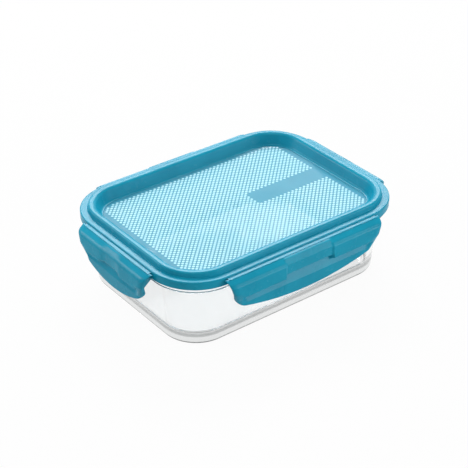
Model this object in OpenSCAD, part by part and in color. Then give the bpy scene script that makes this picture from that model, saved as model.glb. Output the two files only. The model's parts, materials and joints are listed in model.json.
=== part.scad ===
// Rectangular glass storage container with a four-latch lid

/* [Dish] */
// Length of the dish over its rim
dish_l = 196; // [160:1:260]
// Width of the dish over its rim
dish_w = 145; // [120:1:200]
// Height of the dish, table to rim top
dish_h = 54.8; // [50:0.2:90]
// Corner radius of the rim, outside
dish_corner_r = 34.4; // [30:0.2:42]
// Thickness of the glass wall
wall_t = 4; // [3:0.1:5]
// Thickness of the glass floor
floor_t = 5; // [3:0.1:8]
// Lean of the wall from upright, in degrees
wall_draft = 4; // [0:0.5:5]
// Overhang of the rim beyond the wall
rim_out = 5.1; // [4:0.1:6]
// Height of the rim band
rim_h = 8; // [7:0.2:10]
// Rounding of the rim edges
rim_edge_r = 1.5; // [0.5:0.1:2]
// Rounding of the lower outside edge
foot_r = 6; // [3:0.5:8]
// Rounding inside, between wall and floor
floor_r = 6; // [3:0.5:9]

/* [Lid frame] */
// Thickness of the lid moulding
shell_t = 1.8; // [1.4:0.1:2.4]
// Thickness of the outer skirt
skirt_t = 1.6; // [1.2:0.1:2.2]
// Height of the outer skirt
skirt_h = 6.2; // [5:0.1:8]
// Gap between the rim and the skirt
rim_clear = 0.5; // [0.3:0.1:1]
// Gap between the rim top and the ledge
lid_gap = 0.7; // [0.4:0.1:1.2]
// Width of the flat ledge
ledge_w = 5.3; // [4:0.1:6]
// Height of the raised ring above the ledge
ring_h = 3.7; // [3:0.1:6]
// Width of the raised ring
ring_w = 5.5; // [5:0.1:7]
// Inward lean of the outside of the ring
ring_lean = 0.8; // [0:0.1:1.2]
// Rounding of the outer ring edge
ring_outer_r = 1.5; // [0.5:0.1:1.8]
// Rounding of the inner ring edge
ring_inner_r = 2; // [0.5:0.1:2.4]
// Depth of the window below the ring
window_drop = 8.5; // [7:0.1:10]
// Inward lean of the wall around the window
well_lean = 4; // [2.5:0.1:5]
// Rounding at the foot of that wall
well_r = 1.5; // [0.5:0.1:2]
// Width of the toe that overlaps the window
toe_w = 1.5; // [1.5:0.1:3]
// Thickness of the toe
toe_t = 0.8; // [0.6:0.1:1]
// Rounding of the outer skirt edges
skirt_edge_r = 0.8; // [0.2:0.1:1]

/* [Window and seal] */
// Thickness of the window
window_t = 1.6; // [1.2:0.1:2.2]
// Lap of the window under the toe
window_lap = 2; // [1:0.1:2.5]
// Gap around the window edge
window_clear = 0.1; // [0.05:0.05:0.3]
// Thickness of the frame outside the lap
lap_wall = 1.2; // [0.8:0.1:1.6]
// Gap between the seal and its channel
seal_clear = 0.15; // [0.05:0.05:0.3]
// Depth of the notch between the two seal lips
seal_notch = 1.2; // [0.6:0.1:2]

/* [Latches] */
// Length of the front and rear latches
long_latch_l = 134; // [100:1:150]
// Length of the left and right latches
short_latch_l = 82; // [60:1:95]
// Thickness of the latch plate
latch_t = 1.8; // [1.4:0.1:2.2]
// Hinge axis to skirt
hinge_out = 1.5; // [1.3:0.1:2]
// Hinge axis below the ledge
hinge_drop = 2.3; // [1.8:0.1:2.6]
// Radius of the rounded latch nose on the hinge axis
nose_r = 0.8; // [0.6:0.1:0.9]
// Thickness of the living hinge
web_t = 0.4; // [0.3:0.05:0.5]
// Lap of the living hinge on the latch, past the axis
web_lap = 1.4; // [1:0.1:1.8]
// Skirt to the brow above the finger recess
brow_out = 6.3; // [5.5:0.1:7]
// Hinge axis down to that brow
brow_drop = 1.8; // [1.4:0.1:2.4]
// Skirt to the waist at the foot of the finger recess
waist_out = 3.5; // [3.2:0.1:4.2]
// Skirt to the fullest part of the side pads
pad_out = 8.9; // [8.4:0.1:10]
// Hinge axis down to the fullest part of the pads
pad_full_drop = 9.5; // [8.5:0.1:10.5]
// Set-back of the pads at their shoulder
pad_shoulder_in = 0.7; // [0.3:0.1:1.2]
// Hinge axis down to the shoulder of the pads
pad_shoulder_drop = 2.2; // [1.8:0.1:2.8]
// Rounding of the full face of the pads
pad_face_r = 4; // [2:0.1:4.4]
// Hinge axis down to the foot of the pads, on the lip
pad_foot_drop = 15; // [14:0.1:16.5]
// Width of the finger recess, long latches
long_recess_w = 42; // [30:1:60]
// Width of the finger recess, short latches
short_recess_w = 16; // [14:1:36]
// Rounding of the pad corners beside the recess
pad_corner_r = 2.5; // [1:0.1:4]
// Hinge axis down to the start of the lip
lip_drop = 12.2; // [11.6:0.1:13.4]
// Height of the sloping lip
lip_h = 7.1; // [6:0.1:8]
// Stand-out of the lip from the waist
lip_out = 2.6; // [2:0.1:4]
// Hinge axis down to the lowest point of the latch
latch_h = 28.6; // [26:0.1:34]
// Rise of the curved lower edge towards its ends
latch_sag = 8.5; // [4:0.1:10]
// Inset of the lower corners from the latch ends
latch_end_inset = 7; // [4:0.1:10]
// Rounding of the lower corners
latch_corner_r = 6; // [3:0.1:8]
// Thickness of the latch end walls
end_wall_t = 1.6; // [1.2:0.1:2]
// Gap between the end walls and the glass rim
end_wall_clear = 0.5; // [0.4:0.1:1]
// Gap between the end walls and the skirt
skirt_clear = 0.4; // [0.3:0.1:0.6]
// Reach of the snap rib under the rim
rib_reach = 2.2; // [1.5:0.1:2.6]
// Gap between the snap rib and the underside of the rim
rib_clear = 0.3; // [0.2:0.05:0.6]
// Thickness of the snap rib at its tip
rib_tip_t = 1.3; // [1:0.1:1.8]
// Thickness of the snap rib at its root
rib_root_t = 2.6; // [1.8:0.1:3]
// Gap between the snap rib and the end walls
rib_end_gap = 1; // [0.4:0.1:4]
// Inset of the living hinge from the ends it could reach
web_inset = 0.6; // [0.4:0.1:6]

/* [Hidden] */
$fn = 64;

// Colours of the glass and the plastics
glass_tint = [0.88, 0.93, 0.94, 0.45];
frame_tint = [0.11, 0.56, 0.68];
window_tint = [0.60, 0.84, 0.90, 0.8];
seal_tint = [0.93, 0.95, 0.96];

// Profiles are drawn with x measured outwards from the outside of the glass rim and y upwards from the table
core_l = dish_l - 2 * dish_corner_r;
core_w = dish_w - 2 * dish_corner_r;

// Heights of the dish
rim_bottom_z = dish_h - rim_h;
draft_run = tan(wall_draft);
function wall_x(z) = -rim_out - (rim_bottom_z - z) * draft_run;
function cavity_x(z) = wall_x(z) - wall_t;

// Heights of the lid
ledge_z = dish_h + lid_gap + shell_t;
ledge_under_z = ledge_z - shell_t;
skirt_bottom_z = ledge_z - skirt_h;
ring_z = ledge_z + ring_h;
channel_z = ring_z - shell_t;
window_z = ring_z - window_drop;
window_under_z = window_z - window_t;
lap_z = window_z - toe_t;

// Places across the lid profile
skirt_in_x = rim_clear;
skirt_x = skirt_in_x + skirt_t;
groove_x = skirt_x - ledge_w;
ring_in_x = groove_x - ring_w;
well_x = ring_in_x - well_lean;
toe_x = well_x - toe_w;
lap_x = toe_x + window_lap;
foot_x = lap_x + lap_wall;
channel_x = groove_x - shell_t;
well_run = well_lean / window_drop;
well_wall = shell_t * sqrt(1 + well_run * well_run);
function well_back_x(z) = ring_in_x - (ring_z - z) * well_run + well_wall;
foot_top_z = ring_z - (ring_in_x + well_wall - foot_x) / well_run;

// Places across the latch profile
axis_x = skirt_x + hinge_out;
axis_z = ledge_z - hinge_drop;
root_z = axis_z + nose_r;
web_end_x = axis_x + web_lap;
brow_x = skirt_x + brow_out;
brow_z = axis_z - brow_drop;
waist_x = skirt_x + waist_out;
lip_x = waist_x + lip_out;
lip_top_z = axis_z - lip_drop;
lip_z = lip_top_z - lip_h;
pad_x = skirt_x + pad_out;
pad_full_z = axis_z - pad_full_drop;
pad_shoulder_x = pad_x - pad_shoulder_in;
pad_shoulder_z = axis_z - pad_shoulder_drop;
pad_foot_z = axis_z - pad_foot_drop;
pad_foot_x = waist_x + (lip_top_z - pad_foot_z) * lip_out / lip_h;
latch_low_z = axis_z - latch_h;
plate_in_x = waist_x - latch_t;
brow_in_x = brow_x - latch_t;
brow_in_z = brow_z - latch_t / 2;
lip_in_x = lip_x - latch_t;
rib_top_z = rim_bottom_z - rib_clear;
cove_z = rib_top_z + rib_clear;
end_wall_top_z = skirt_bottom_z - skirt_clear;
end_lean = latch_end_inset / (latch_h - latch_sag);

// Reach of the area at a rounded corner past its edges, and of its arc, so that both cross the edges cleanly
corner_past = 1.2;
arc_past = 0.001;

// Unit vector from a to b
function toward(a, b) = (b - a) / norm(b - a);

// Area between a corner p and the arc of radius r that touches its two edges, which run to a and b
module corner_area(p, a, b, r) {
    d = toward(p, a);
    e = toward(p, b);
    half_angle = acos(d * e) / 2;
    centre = p + toward([0, 0], d + e) * r / sin(half_angle);
    reach = r / tan(half_angle);
    function past(q) = centre + (q - centre) * corner_past;
    difference() {
        polygon([past(p), past(p + d * reach), centre, past(p + e * reach)]);
        translate(centre) circle(r + arc_past);
    }
}

// Outline through points [x, y, radius] in anticlockwise order, with true arcs at the corners
module rounded_outline(points) {
    n = len(points);
    xy = [for (p = points) [p[0], p[1]]];
    function before(i) = xy[(i + n - 1) % n];
    function after(i) = xy[(i + 1) % n];
    function outward(i) = cross(xy[i] - before(i), after(i) - xy[i]) > 0;
    difference() {
        union() {
            polygon(xy);
            for (i = [0 : n - 1])
                if (points[i][2] > 0 && !outward(i)) corner_area(xy[i], before(i), after(i), points[i][2]);
        }
        for (i = [0 : n - 1])
            if (points[i][2] > 0 && outward(i)) corner_area(xy[i], before(i), after(i), points[i][2]);
    }
}

// Runs a profile once round the dish: four straight sides and four corners
module sweep_round() {
    for (turn = [0, 180]) {
        rotate(turn) translate([core_l / 2, 0, 0]) straight_run(core_w) children();
        rotate(turn + 90) translate([core_w / 2, 0, 0]) straight_run(core_l) children();
    }
    for (sx = [-1, 1])
        for (sy = [-1, 1])
            translate([sx * core_l / 2, sy * core_w / 2, 0])
                rotate(sx > 0 ? (sy > 0 ? 0 : 270) : (sy > 0 ? 90 : 180))
                    rotate_extrude(angle = 90) translate([dish_corner_r, 0]) children();
}

// One straight side of that run, centred on the y axis
module straight_run(length) {
    translate([dish_corner_r, length / 2, 0]) rotate([90, 0, 0]) linear_extrude(length) children();
}

// Flat plate with the outline of the dish, moved outwards by x
module plate(x, bottom_z, top_z) {
    r = dish_corner_r + x;
    translate([0, 0, bottom_z]) linear_extrude(top_z - bottom_z) {
        square([core_l + 2 * r, core_w], center = true);
        square([core_l, core_w + 2 * r], center = true);
        for (sx = [-1, 1])
            for (sy = [-1, 1])
                translate([sx * core_l / 2, sy * core_w / 2]) circle(r);
    }
}

// Drawn from the corner centre, so that the floor starts exactly on it
module dish_profile() {
    points = [
        [-dish_corner_r, 0, 0],
        [wall_x(0), 0, foot_r],
        [wall_x(rim_bottom_z), rim_bottom_z, 0],
        [0, rim_bottom_z, rim_edge_r],
        [0, dish_h, rim_edge_r],
        [cavity_x(dish_h), dish_h, rim_edge_r],
        [cavity_x(floor_t), floor_t, floor_r],
        [-dish_corner_r, floor_t, 0]
    ];
    translate([-dish_corner_r, 0])
        rounded_outline([for (p = points) [p[0] + dish_corner_r, p[1], p[2]]]);
}

module frame_profile() {
    rounded_outline([
        [skirt_in_x, skirt_bottom_z, 0],
        [skirt_x, skirt_bottom_z, skirt_edge_r],
        [skirt_x, ledge_z, skirt_edge_r],
        [groove_x, ledge_z, 0],
        [groove_x - ring_lean, ring_z, ring_outer_r],
        [ring_in_x, ring_z, ring_inner_r],
        [well_x, window_z, well_r],
        [toe_x, window_z, 0],
        [toe_x, lap_z, 0],
        [lap_x, lap_z, 0],
        [lap_x, window_under_z, 0],
        [foot_x, window_under_z, 0],
        [foot_x, foot_top_z, 0],
        [well_back_x(channel_z), channel_z, 0],
        [channel_x, channel_z, 0],
        [channel_x, ledge_under_z, 0],
        [skirt_in_x, ledge_under_z, 0]
    ]);
}

module seal_profile() {
    outer_x = channel_x - seal_clear;
    inner_x = well_back_x(channel_z) + seal_clear;
    lip_t = (outer_x - inner_x) / 4;
    polygon([
        [outer_x, dish_h],
        [outer_x, channel_z],
        [inner_x, channel_z],
        [inner_x, dish_h],
        [inner_x + lip_t, dish_h],
        [(inner_x + outer_x) / 2, dish_h + seal_notch],
        [outer_x - lip_t, dish_h]
    ]);
}

// Cross-section of a latch through its finger recess
module latch_profile() {
    polygon([
        [axis_x, axis_z - nose_r],
        [plate_in_x, axis_z - nose_r],
        [brow_in_x, brow_in_z],
        [plate_in_x, cove_z],
        [plate_in_x, lip_top_z],
        [lip_in_x, lip_z],
        [lip_in_x, latch_low_z],
        [lip_x, latch_low_z],
        [lip_x, lip_z],
        [waist_x, lip_top_z],
        [brow_x, brow_z],
        [web_end_x, root_z],
        [axis_x, root_z]
    ]);
    translate([axis_x, axis_z]) circle(nose_r);
}

// Cross-section of the full pads beside the recess, with its inner side in the middle of the latch wall
module pad_profile() {
    rounded_outline([
        [(plate_in_x + waist_x) / 2, lip_top_z, 0],
        [pad_foot_x, pad_foot_z, 0],
        [pad_x, pad_full_z, pad_face_r],
        [pad_shoulder_x, pad_shoulder_z, pad_face_r],
        [web_end_x, root_z, 0],
        [(brow_in_x + brow_x) / 2, (brow_in_z + brow_z) / 2, 0]
    ]);
}

// Cross-section of an end wall, which closes the latch towards the glass
module end_wall_profile() {
    polygon([
        [skirt_x + skirt_clear, axis_z - nose_r],
        [skirt_x + skirt_clear, end_wall_top_z],
        [end_wall_clear, end_wall_top_z],
        [plate_in_x, lip_top_z],
        [waist_x, lip_top_z],
        [brow_x, brow_z],
        [plate_in_x, axis_z - nose_r]
    ]);
}

module rib_profile() {
    polygon([
        [-rib_reach, rib_top_z - rib_tip_t],
        [plate_in_x, rib_top_z - rib_root_t],
        [plate_in_x, rib_top_z],
        [-rib_reach, rib_top_z]
    ]);
}

// Front view of a latch: leaning ends, curved lower edge and rounded lower corners
module latch_front(length) {
    top_z = root_z;
    half = length / 2;
    chord = half - latch_end_inset;
    bow_r = (chord * chord + latch_sag * latch_sag) / (2 * latch_sag);
    bow = [0, latch_low_z + bow_r];
    side = toward([0, 0], [1, -end_lean]);
    side_gap = side * ([half, axis_z] - bow) - latch_corner_r;
    along = [-side[1], side[0]];
    knee = bow + side * side_gap - along * sqrt(pow(bow_r - latch_corner_r, 2) - side_gap * side_gap);
    down = toward(bow, knee);
    reach = 2 * latch_corner_r;
    low_half = half - (axis_z - latch_low_z) * end_lean;
    top_half = half + (top_z - axis_z) * end_lean;
    difference() {
        intersection() {
            polygon([[-low_half, latch_low_z], [low_half, latch_low_z], [top_half, top_z], [-top_half, top_z]]);
            translate(bow) circle(bow_r, $fn = 256);
        }
        for (flip = [0, 1])
            mirror([flip, 0])
                difference() {
                    polygon([knee, knee + down * reach, knee + (side + down) * reach, knee + side * reach]);
                    translate(knee) circle(latch_corner_r + arc_past);
                }
    }
}

// Front view of one pad, from the finger recess to the latch end
module pad_front(length, recess_w) {
    rounded_outline([
        [recess_w / 2, pad_foot_z, pad_corner_r],
        [length, pad_foot_z, 0],
        [length, root_z, 0],
        [recess_w / 2, root_z, pad_corner_r]
    ]);
}

// Front view of one end wall
module end_strip(length) {
    low_half = length / 2 - latch_h * end_lean;
    top_half = length / 2 + nose_r * end_lean;
    polygon([
        [low_half - end_wall_t, latch_low_z],
        [low_half, latch_low_z],
        [top_half, root_z],
        [top_half - end_wall_t, root_z]
    ]);
}

// Runs a cross-section along the side at +x, centred
module along_side(length) {
    translate([0, length / 2, 0]) rotate([90, 0, 0]) linear_extrude(length) children();
}

// Runs a front view outwards from the rim, through the side at +x
module through_side() {
    rotate([90, 0, 90]) linear_extrude(pad_x + latch_t) children();
}

// Both ends of a latch
module both_ends() {
    children();
    mirror([0, 1, 0]) children();
}

// Length of a latch at the height of its shoulder
function shoulder_length(length) = length + 2 * nose_r * end_lean;

module latch(length, recess_w) {
    full_l = shoulder_length(length);
    color(frame_tint)
        intersection() {
            union() {
                along_side(full_l) latch_profile();
                both_ends() {
                    intersection() {
                        along_side(full_l) pad_profile();
                        through_side() pad_front(length, recess_w);
                    }
                    intersection() {
                        along_side(full_l) end_wall_profile();
                        through_side() end_strip(length);
                    }
                }
            }
            through_side() latch_front(length);
        }
}

// The living hinge spans the straight part of the skirt, no further than its latch
module hinge_web(length, straight_l) {
    web_l = min(length, straight_l) - 2 * web_inset;
    color(frame_tint)
        translate([skirt_x, -web_l / 2, root_z])
            cube([web_end_x - skirt_x, web_l, web_t]);
}

// The snap rib runs between the end walls
module snap_rib(length) {
    rib_drop = axis_z - rib_top_z + rib_root_t;
    rib_l = length - 2 * (rib_drop * end_lean + end_wall_t + rib_end_gap);
    color(frame_tint) along_side(rib_l) rib_profile();
}

// Places a piece drawn at +x, with x measured from the rim, on one side of the dish
module on_front() {
    rotate(270) translate([dish_w / 2, 0, 0]) children();
}

module on_rear() {
    rotate(90) translate([dish_w / 2, 0, 0]) children();
}

module on_left() {
    rotate(180) translate([dish_l / 2, 0, 0]) children();
}

module on_right() {
    translate([dish_l / 2, 0, 0]) children();
}

module glass_dish() {
    color(glass_tint) {
        sweep_round() dish_profile();
        translate([0, 0, floor_t / 2]) cube([core_l, core_w, floor_t], center = true);
    }
}

module lid_frame() {
    color(frame_tint) sweep_round() frame_profile();
}

module lid_window() {
    color(window_tint) {
        plate(lap_x - window_clear, window_under_z, lap_z);
        plate(toe_x - window_clear, lap_z, window_z);
    }
}

module lid_seal() {
    color(seal_tint) sweep_round() seal_profile();
}

module front_latch() {
    on_front() latch(long_latch_l, long_recess_w);
}

module rear_latch() {
    on_rear() latch(long_latch_l, long_recess_w);
}

module left_latch() {
    on_left() latch(short_latch_l, short_recess_w);
}

module right_latch() {
    on_right() latch(short_latch_l, short_recess_w);
}

module front_hinge_web() {
    on_front() hinge_web(long_latch_l, core_l);
}

module rear_hinge_web() {
    on_rear() hinge_web(long_latch_l, core_l);
}

module left_hinge_web() {
    on_left() hinge_web(short_latch_l, core_w);
}

module right_hinge_web() {
    on_right() hinge_web(short_latch_l, core_w);
}

module front_snap_rib() {
    on_front() snap_rib(long_latch_l);
}

module rear_snap_rib() {
    on_rear() snap_rib(long_latch_l);
}

module left_snap_rib() {
    on_left() snap_rib(short_latch_l);
}

module right_snap_rib() {
    on_right() snap_rib(short_latch_l);
}

glass_dish();
lid_frame();
lid_window();
lid_seal();
front_latch();
rear_latch();
left_latch();
right_latch();
front_hinge_web();
rear_hinge_web();
left_hinge_web();
right_hinge_web();
front_snap_rib();
rear_snap_rib();
left_snap_rib();
right_snap_rib();
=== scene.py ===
"""Rectangular glass food container with a four-latch lid, dressed for a studio picture.

Lengths are in metres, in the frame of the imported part: +X along the long side, +Y from the front latch
to the rear latch, +Z up, with the origin in the middle of the base.
"""

import json
import logging
import math
from collections.abc import Callable, Sequence
from dataclasses import dataclass
from enum import Enum

import bmesh
import bpy
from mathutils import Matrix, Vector


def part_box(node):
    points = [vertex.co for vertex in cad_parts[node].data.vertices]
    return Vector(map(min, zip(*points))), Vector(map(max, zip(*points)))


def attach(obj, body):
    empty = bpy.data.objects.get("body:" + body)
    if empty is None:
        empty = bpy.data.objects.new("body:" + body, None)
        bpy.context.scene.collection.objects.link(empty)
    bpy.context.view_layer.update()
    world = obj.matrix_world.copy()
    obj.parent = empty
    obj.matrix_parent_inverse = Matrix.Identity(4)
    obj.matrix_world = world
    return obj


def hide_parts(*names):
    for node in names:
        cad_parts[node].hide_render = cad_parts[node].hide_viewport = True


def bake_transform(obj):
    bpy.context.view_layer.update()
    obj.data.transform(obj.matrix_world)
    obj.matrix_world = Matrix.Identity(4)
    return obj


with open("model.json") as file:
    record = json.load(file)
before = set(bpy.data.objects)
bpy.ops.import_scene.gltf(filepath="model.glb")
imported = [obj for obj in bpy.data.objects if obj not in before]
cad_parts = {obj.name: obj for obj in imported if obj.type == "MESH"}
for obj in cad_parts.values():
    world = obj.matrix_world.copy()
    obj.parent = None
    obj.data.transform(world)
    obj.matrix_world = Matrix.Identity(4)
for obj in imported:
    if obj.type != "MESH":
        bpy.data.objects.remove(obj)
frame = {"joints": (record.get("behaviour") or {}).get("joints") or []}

LOG = logging.getLogger("container")
MM = 0.001
FLOAT = "NodeSocketFloat"
VECTOR = "NodeSocketVector"
PLASTIC_IOR = 1.49
MOTTLE_SPAN = (0.3, 0.7)

Colour = tuple[float, float, float]
Point = tuple[float, float, float]


def srgb(red: int, green: int, blue: int) -> Colour:
    """Turns a screen colour into the linear colour that shaders take.

    Args:
        red: red from 0 to 255.
        green: green from 0 to 255.
        blue: blue from 0 to 255.

    Returns:
        The linear colour, each part from 0 to 1.
    """

    def linear(level: int) -> float:
        """Undoes the screen curve for one part of the colour."""
        share = level / 255
        return share / 12.92 if share <= 0.04045 else ((share + 0.055) / 1.055) ** 2.4

    return linear(red), linear(green), linear(blue)


def ease(share: float) -> float:
    """Holds a share between 0 and 1 and smooths both ends of its run."""
    held = min(max(share, 0.0), 1.0)
    return held * held * (3 - 2 * held)


@dataclass(frozen=True)
class Knot:
    """A corner of a drawn profile.

    Attributes:
        x: distance outwards from the outside of the glass rim.
        z: height above the table.
        r: radius that rounds the corner, or 0 for a sharp one.
    """

    x: float
    z: float
    r: float = 0.0


def rounded(knots: Sequence[Knot], segments: int = 5) -> list[Knot]:
    """Rounds the corners of a line.

    Args:
        knots: corners of the line in order.
        segments: edges in each rounded corner.

    Returns:
        Points of the rounded line.
    """
    at = [Vector((k.x, k.z)) for k in knots]
    line = [at[0]]
    for i, knot in enumerate(knots[1:-1], 1):
        back, ahead = (at[i - 1] - at[i]).normalized(), (at[i + 1] - at[i]).normalized()
        half_angle = back.angle(ahead) / 2
        reach = knot.r / math.tan(half_angle)
        middle = at[i] + (back + ahead).normalized() * knot.r / math.sin(half_angle)
        start, end = at[i] + back * reach, at[i] + ahead * reach
        for step in range(segments + 1):
            spoke = start.lerp(end, step / segments) - middle
            line.append(middle + spoke.normalized() * knot.r)
    return [Knot(p.x, p.y) for p in [*line, at[-1]]]


def level_x(line: Sequence[Knot], z: float) -> float:
    """Reads how far out a falling line is at a height.

    Args:
        line: points of the line, from the top down.
        z: the height.

    Returns:
        The distance outwards at that height.
    """
    for upper, lower in zip(line, line[1:]):
        if z >= lower.z:
            break
    share = min(max((upper.z - z) / (upper.z - lower.z), 0.0), 1.0)
    return upper.x + share * (lower.x - upper.x)


@dataclass(frozen=True)
class RimOutline:
    """The rounded rectangle that the dish and the lid follow.

    Attributes:
        half_l: half its length along X.
        half_w: half its width along Y.
        corner_r: radius of its corners.
        steps: faces round each corner.
    """

    half_l: float
    half_w: float
    corner_r: float = 34.4 * MM
    steps: int = 20

    @classmethod
    def of_dish(cls) -> "RimOutline":
        """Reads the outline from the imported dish."""
        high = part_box("glass_dish")[1]
        return cls(high.x, high.y)

    @property
    def core_l(self) -> float:
        """Length of the straight part of a long side."""
        return 2 * (self.half_l - self.corner_r)

    @property
    def core_w(self) -> float:
        """Length of the straight part of a short side."""
        return 2 * (self.half_w - self.corner_r)

    @property
    def start(self) -> Point:
        """Where a profile is drawn: the front end of the right side."""
        return self.half_l, -self.core_w / 2, 0.0

    def runs(self) -> list[tuple[Point, Point]]:
        """Lists the four straight runs from the start, each with the centre of the corner after it.

        Returns:
            Pairs of a run and a corner centre, anticlockwise.
        """
        x, y = self.core_l / 2, self.core_w / 2
        return [
            ((0, 2 * y, 0), (x, y, 0)),
            ((-2 * x, 0, 0), (-x, y, 0)),
            ((0, -2 * y, 0), (-x, -y, 0)),
            ((2 * x, 0, 0), (x, -y, 0)),
        ]


class Side(Enum):
    """A side of the container.

    Its value is the turn in degrees that takes a piece there from the right side.
    """

    FRONT = 270
    REAR = 90
    LEFT = 180
    RIGHT = 0

    @property
    def title(self) -> str:
        """The side's name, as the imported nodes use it."""
        return self.name.lower()

    @property
    def long(self) -> bool:
        """Whether this is one of the two long sides."""
        return self in (Side.FRONT, Side.REAR)

    def reach(self, rim: RimOutline) -> float:
        """Distance from the origin to the rim on this side."""
        return rim.half_w if self.long else rim.half_l

    def put(self, x: float, z: float, rim: RimOutline) -> Vector:
        """Gives the place of a point in the middle of this side.

        Args:
            x: distance outwards from the rim.
            z: height above the table.
            rim: outline of the dish.

        Returns:
            The point in the part's frame.
        """
        turn = math.radians(self.value)
        out = self.reach(rim) + x
        return Vector((out * math.cos(turn), out * math.sin(turn), z))


class Bench:
    """A mesh object while it is modelled with the edit-mode tools.

    Attributes:
        obj: the object, which starts as one point at the origin.
        SAME: distance under which two points count as one.
        CREASE_DEG: edges sharper than this stay sharp.
    """

    SAME = 0.001 * MM
    CREASE_DEG = 35.0

    def __init__(self, name: str) -> None:
        """Starts a piece.

        Args:
            name: name of the piece.
        """
        bpy.ops.object.select_all(action="DESELECT")
        bpy.ops.mesh.primitive_plane_add(size=MM)
        self.obj: bpy.types.Object = bpy.context.object
        self.obj.name = name
        self.obj.data.name = name
        bpy.ops.object.mode_set(mode="EDIT")
        self.pick_all()
        bpy.ops.mesh.merge(type="CENTER")

    def pick_all(self) -> None:
        """Selects the whole mesh."""
        bpy.ops.mesh.select_all(action="SELECT")

    def pick(self, test: Callable[[Vector], bool]) -> None:
        """Selects the points that pass a test, and what lies between them.

        Args:
            test: says whether a point is wanted, from its place.
        """
        bpy.ops.mesh.select_all(action="DESELECT")
        cage = bmesh.from_edit_mesh(self.obj.data)
        for point in cage.verts:
            if test(point.co):
                point.select_set(True)
        cage.select_flush_mode()
        bmesh.update_edit_mesh(self.obj.data)

    def pick_faces(self, test: Callable[[Vector, Vector], bool]) -> None:
        """Selects the faces that pass a test.

        Args:
            test: says whether a face is wanted, from its middle and its normal.
        """
        bpy.ops.mesh.select_all(action="DESELECT")
        cage = bmesh.from_edit_mesh(self.obj.data)
        for face in cage.faces:
            if test(face.calc_center_median(), face.normal):
                face.select_set(True)
        cage.select_flush_mode()
        bmesh.update_edit_mesh(self.obj.data)

    def shift(self, by: Callable[[Vector], Point]) -> None:
        """Moves each point by an amount of its own.

        Args:
            by: gives the move of a point, from its place.
        """
        for place in [point.co.copy() for point in bmesh.from_edit_mesh(self.obj.data).verts]:
            self.pick(lambda p: (p - place).length < self.SAME)
            self.move(by(place))

    def move(self, by: Point) -> None:
        """Moves what is selected."""
        bpy.ops.transform.translate(value=by)

    def extrude(self, by: Point) -> None:
        """Extrudes what is selected."""
        bpy.ops.mesh.extrude_region_move(TRANSFORM_OT_translate={"value": by})

    def cut(self, place: Point, normal: Point) -> None:
        """Cuts the whole mesh along a plane.

        Args:
            place: a point on the plane.
            normal: direction across the plane.
        """
        self.pick_all()
        bpy.ops.mesh.bisect(plane_co=place, plane_no=normal)

    def draw(self, knots: Sequence[Knot], start: Point, closed: bool = True, segments: int = 6) -> None:
        """Draws a profile in the plane across the right side, with rounded corners.

        Args:
            knots: corners of the profile in order.
            start: the point in the frame that the profile is measured from.
            closed: whether the last corner joins the first.
            segments: edges in each rounded corner.
        """
        at = [Vector((start[0] + k.x, start[1], start[2] + k.z)) for k in knots]
        self.move(tuple(at[0]))
        for here, there in zip(at, at[1:]):
            self.extrude(tuple(there - here))
        if closed:
            self.pick(lambda p: min((p - at[0]).length, (p - at[-1]).length) < self.SAME)
            bpy.ops.mesh.edge_face_add()
        count = len(knots)
        for i, knot in enumerate(knots):
            if knot.r > 0:
                self.round(at[i - 1], at[i], at[(i + 1) % count], knot.r, segments)

    def round(self, before: Vector, corner: Vector, after: Vector, r: float, segments: int) -> None:
        """Rounds one corner of a drawn line.

        Args:
            before: the corner before it.
            corner: the corner.
            after: the corner after it.
            r: radius of the rounding.
            segments: edges in the rounding.
        """
        half_angle = (before - corner).angle(after - corner) / 2
        self.pick(lambda p: (p - corner).length < self.SAME)
        bpy.ops.mesh.bevel(offset=r / math.tan(half_angle), segments=segments, affect="VERTICES")

    def fill(self) -> None:
        """Fills the whole outline with a face."""
        self.pick_all()
        bpy.ops.mesh.edge_face_add()

    def sweep(self, rim: RimOutline) -> None:
        """Runs the drawn profile once round the dish.

        Args:
            rim: outline to follow.
        """
        self.pick_all()
        for run, corner in rim.runs():
            self.extrude(run)
            bpy.ops.mesh.spin(steps=rim.steps, angle=math.pi / 2, center=corner, axis=(0, 0, -1))
        self.clean()

    def clean(self) -> None:
        """Merges points that meet and turns the faces outwards."""
        self.pick_all()
        bpy.ops.mesh.remove_doubles(threshold=self.SAME)
        bpy.ops.mesh.normals_make_consistent(inside=False)

    def modify(self, kind: str, **settings: object) -> None:
        """Adds a modifier to the object and applies it, in object mode.

        Args:
            kind: Blender's name of the modifier.
            settings: its values.
        """
        self.leave()
        modifier = self.obj.modifiers.new(kind.title(), kind)
        for name, value in settings.items():
            setattr(modifier, name, value)
        bpy.context.view_layer.objects.active = self.obj
        bpy.ops.object.modifier_apply(modifier=modifier.name)
        bpy.ops.object.mode_set(mode="EDIT")

    def soften(self, width: float, crease_deg: float) -> None:
        """Bevels the edges that are sharper than an angle.

        Args:
            width: width of the bevel.
            crease_deg: the angle in degrees.
        """
        limit = math.radians(crease_deg)
        self.modify("BEVEL", width=width, segments=3, limit_method="ANGLE", angle_limit=limit)

    def join(self, other: bpy.types.Object) -> None:
        """Unites the piece with another object, which is used up."""
        self.modify("BOOLEAN", operation="UNION", object=other)
        bpy.data.objects.remove(other)

    def place(self, side: Side, rim: RimOutline) -> None:
        """Takes a piece modelled at the rim, facing +X, to its side of the container.

        Args:
            side: the side it belongs to.
            rim: outline of the dish.
        """
        self.leave()
        self.obj.location = side.put(0, 0, rim)
        self.obj.rotation_euler.z = math.radians(side.value)
        bpy.ops.object.transform_apply(location=True, rotation=True, scale=True)
        bpy.ops.object.mode_set(mode="EDIT")

    def leave(self) -> bpy.types.Object:
        """Leaves edit mode and gives the object."""
        bpy.ops.object.mode_set(mode="OBJECT")
        return self.obj

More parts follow.
